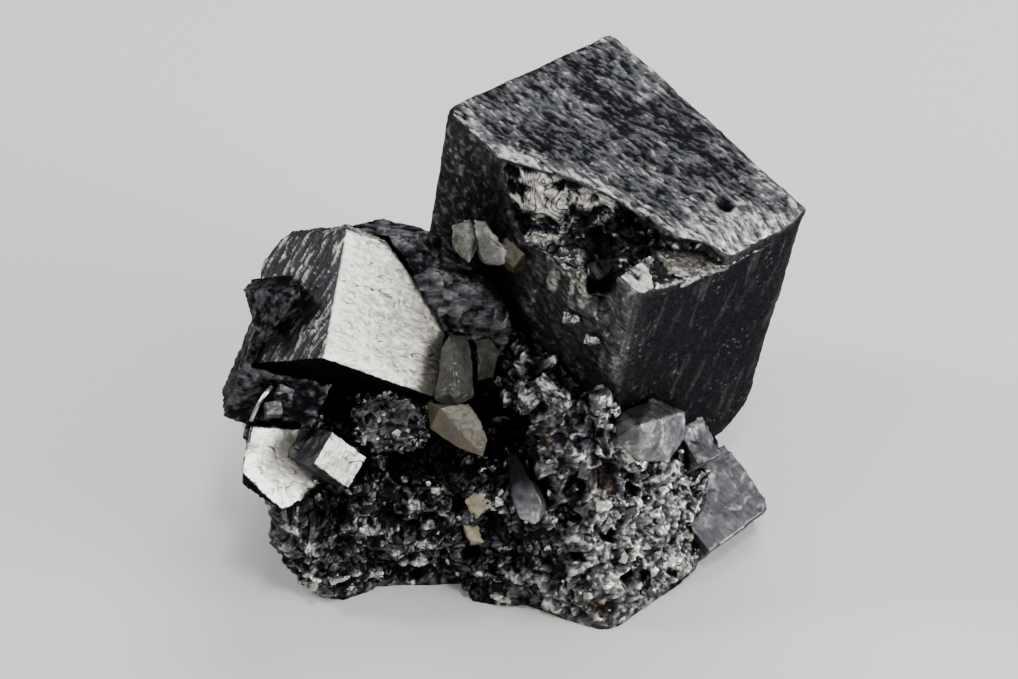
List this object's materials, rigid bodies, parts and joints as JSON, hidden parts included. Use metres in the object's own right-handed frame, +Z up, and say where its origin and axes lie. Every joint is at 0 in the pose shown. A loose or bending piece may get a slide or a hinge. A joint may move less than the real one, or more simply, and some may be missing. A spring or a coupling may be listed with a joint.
{
  "type": "acanthite mineral specimen",
  "caption": "Cluster of blocky dark metallic cube crystals with a large hollowed cube, grown on a lump of sparkling drusy matrix that rests on its broken underside.",
  "frame": {"origin": "on the resting surface, under the middle of the specimen's bounding box", "axes": "+Z up, +X to the viewer's right and -Y toward the viewer of the face with the bright cube and the hollowed corner of the large cube"},
  "size_m": [0.0346, 0.0276, 0.0259],
  "materials": {
    "acanthite_dark": "lead-grey to black metallic silver sulphide, satin with fine growth lines",
    "acanthite_bright": "bright silvery-grey metallic faces, finely pitted and scratched",
    "matrix_druse": "hackly dark metallic druse of tiny crystals with deep pits, sparkling",
    "quartz_smoky": "translucent grey-brown quartz, glassy with dull frosted faces",
    "quartz_tan": "tan iron-stained quartz, frosted",
    "calcite_cream": "cream-yellow calcite grains, dull",
    "silver_wire": "thin bright native silver wire"
  },
  "bodies": {
    "root": {"matrix": "matrix_druse", "large_cube": "acanthite_dark", "left_cube": "acanthite_bright", "lower_left_cube": "acanthite_bright", "lower_left_prism": "acanthite_bright", "right_prism": "acanthite_dark", "bridge_crystal": "acanthite_dark", "left_spur": "acanthite_dark", "upper_left_block": "acanthite_dark", "slab_crystal": "acanthite_dark", "right_chip": "acanthite_dark", "sparkly_nodule": "acanthite_dark", "tongue_crystal": "acanthite_dark", "smoky_prism": "quartz_smoky", "grey_crystal": "quartz_smoky", "ridge_chip_left": "quartz_smoky", "ridge_chip_middle": "quartz_smoky", "ridge_chip_tan": "quartz_tan", "tan_wedge": "quartz_tan", "bright_blade_left": "acanthite_bright", "bright_blade_right": "acanthite_bright", "bright_facet_high": "acanthite_bright", "bright_facet_low": "acanthite_bright", "cubelet_left": "acanthite_bright", "cubelet_right": "acanthite_bright", "calcite_bit_upper": "calcite_cream", "calcite_bit_lower": "calcite_cream", "silver_wire": "silver_wire"}
  },
  "joints": []
}
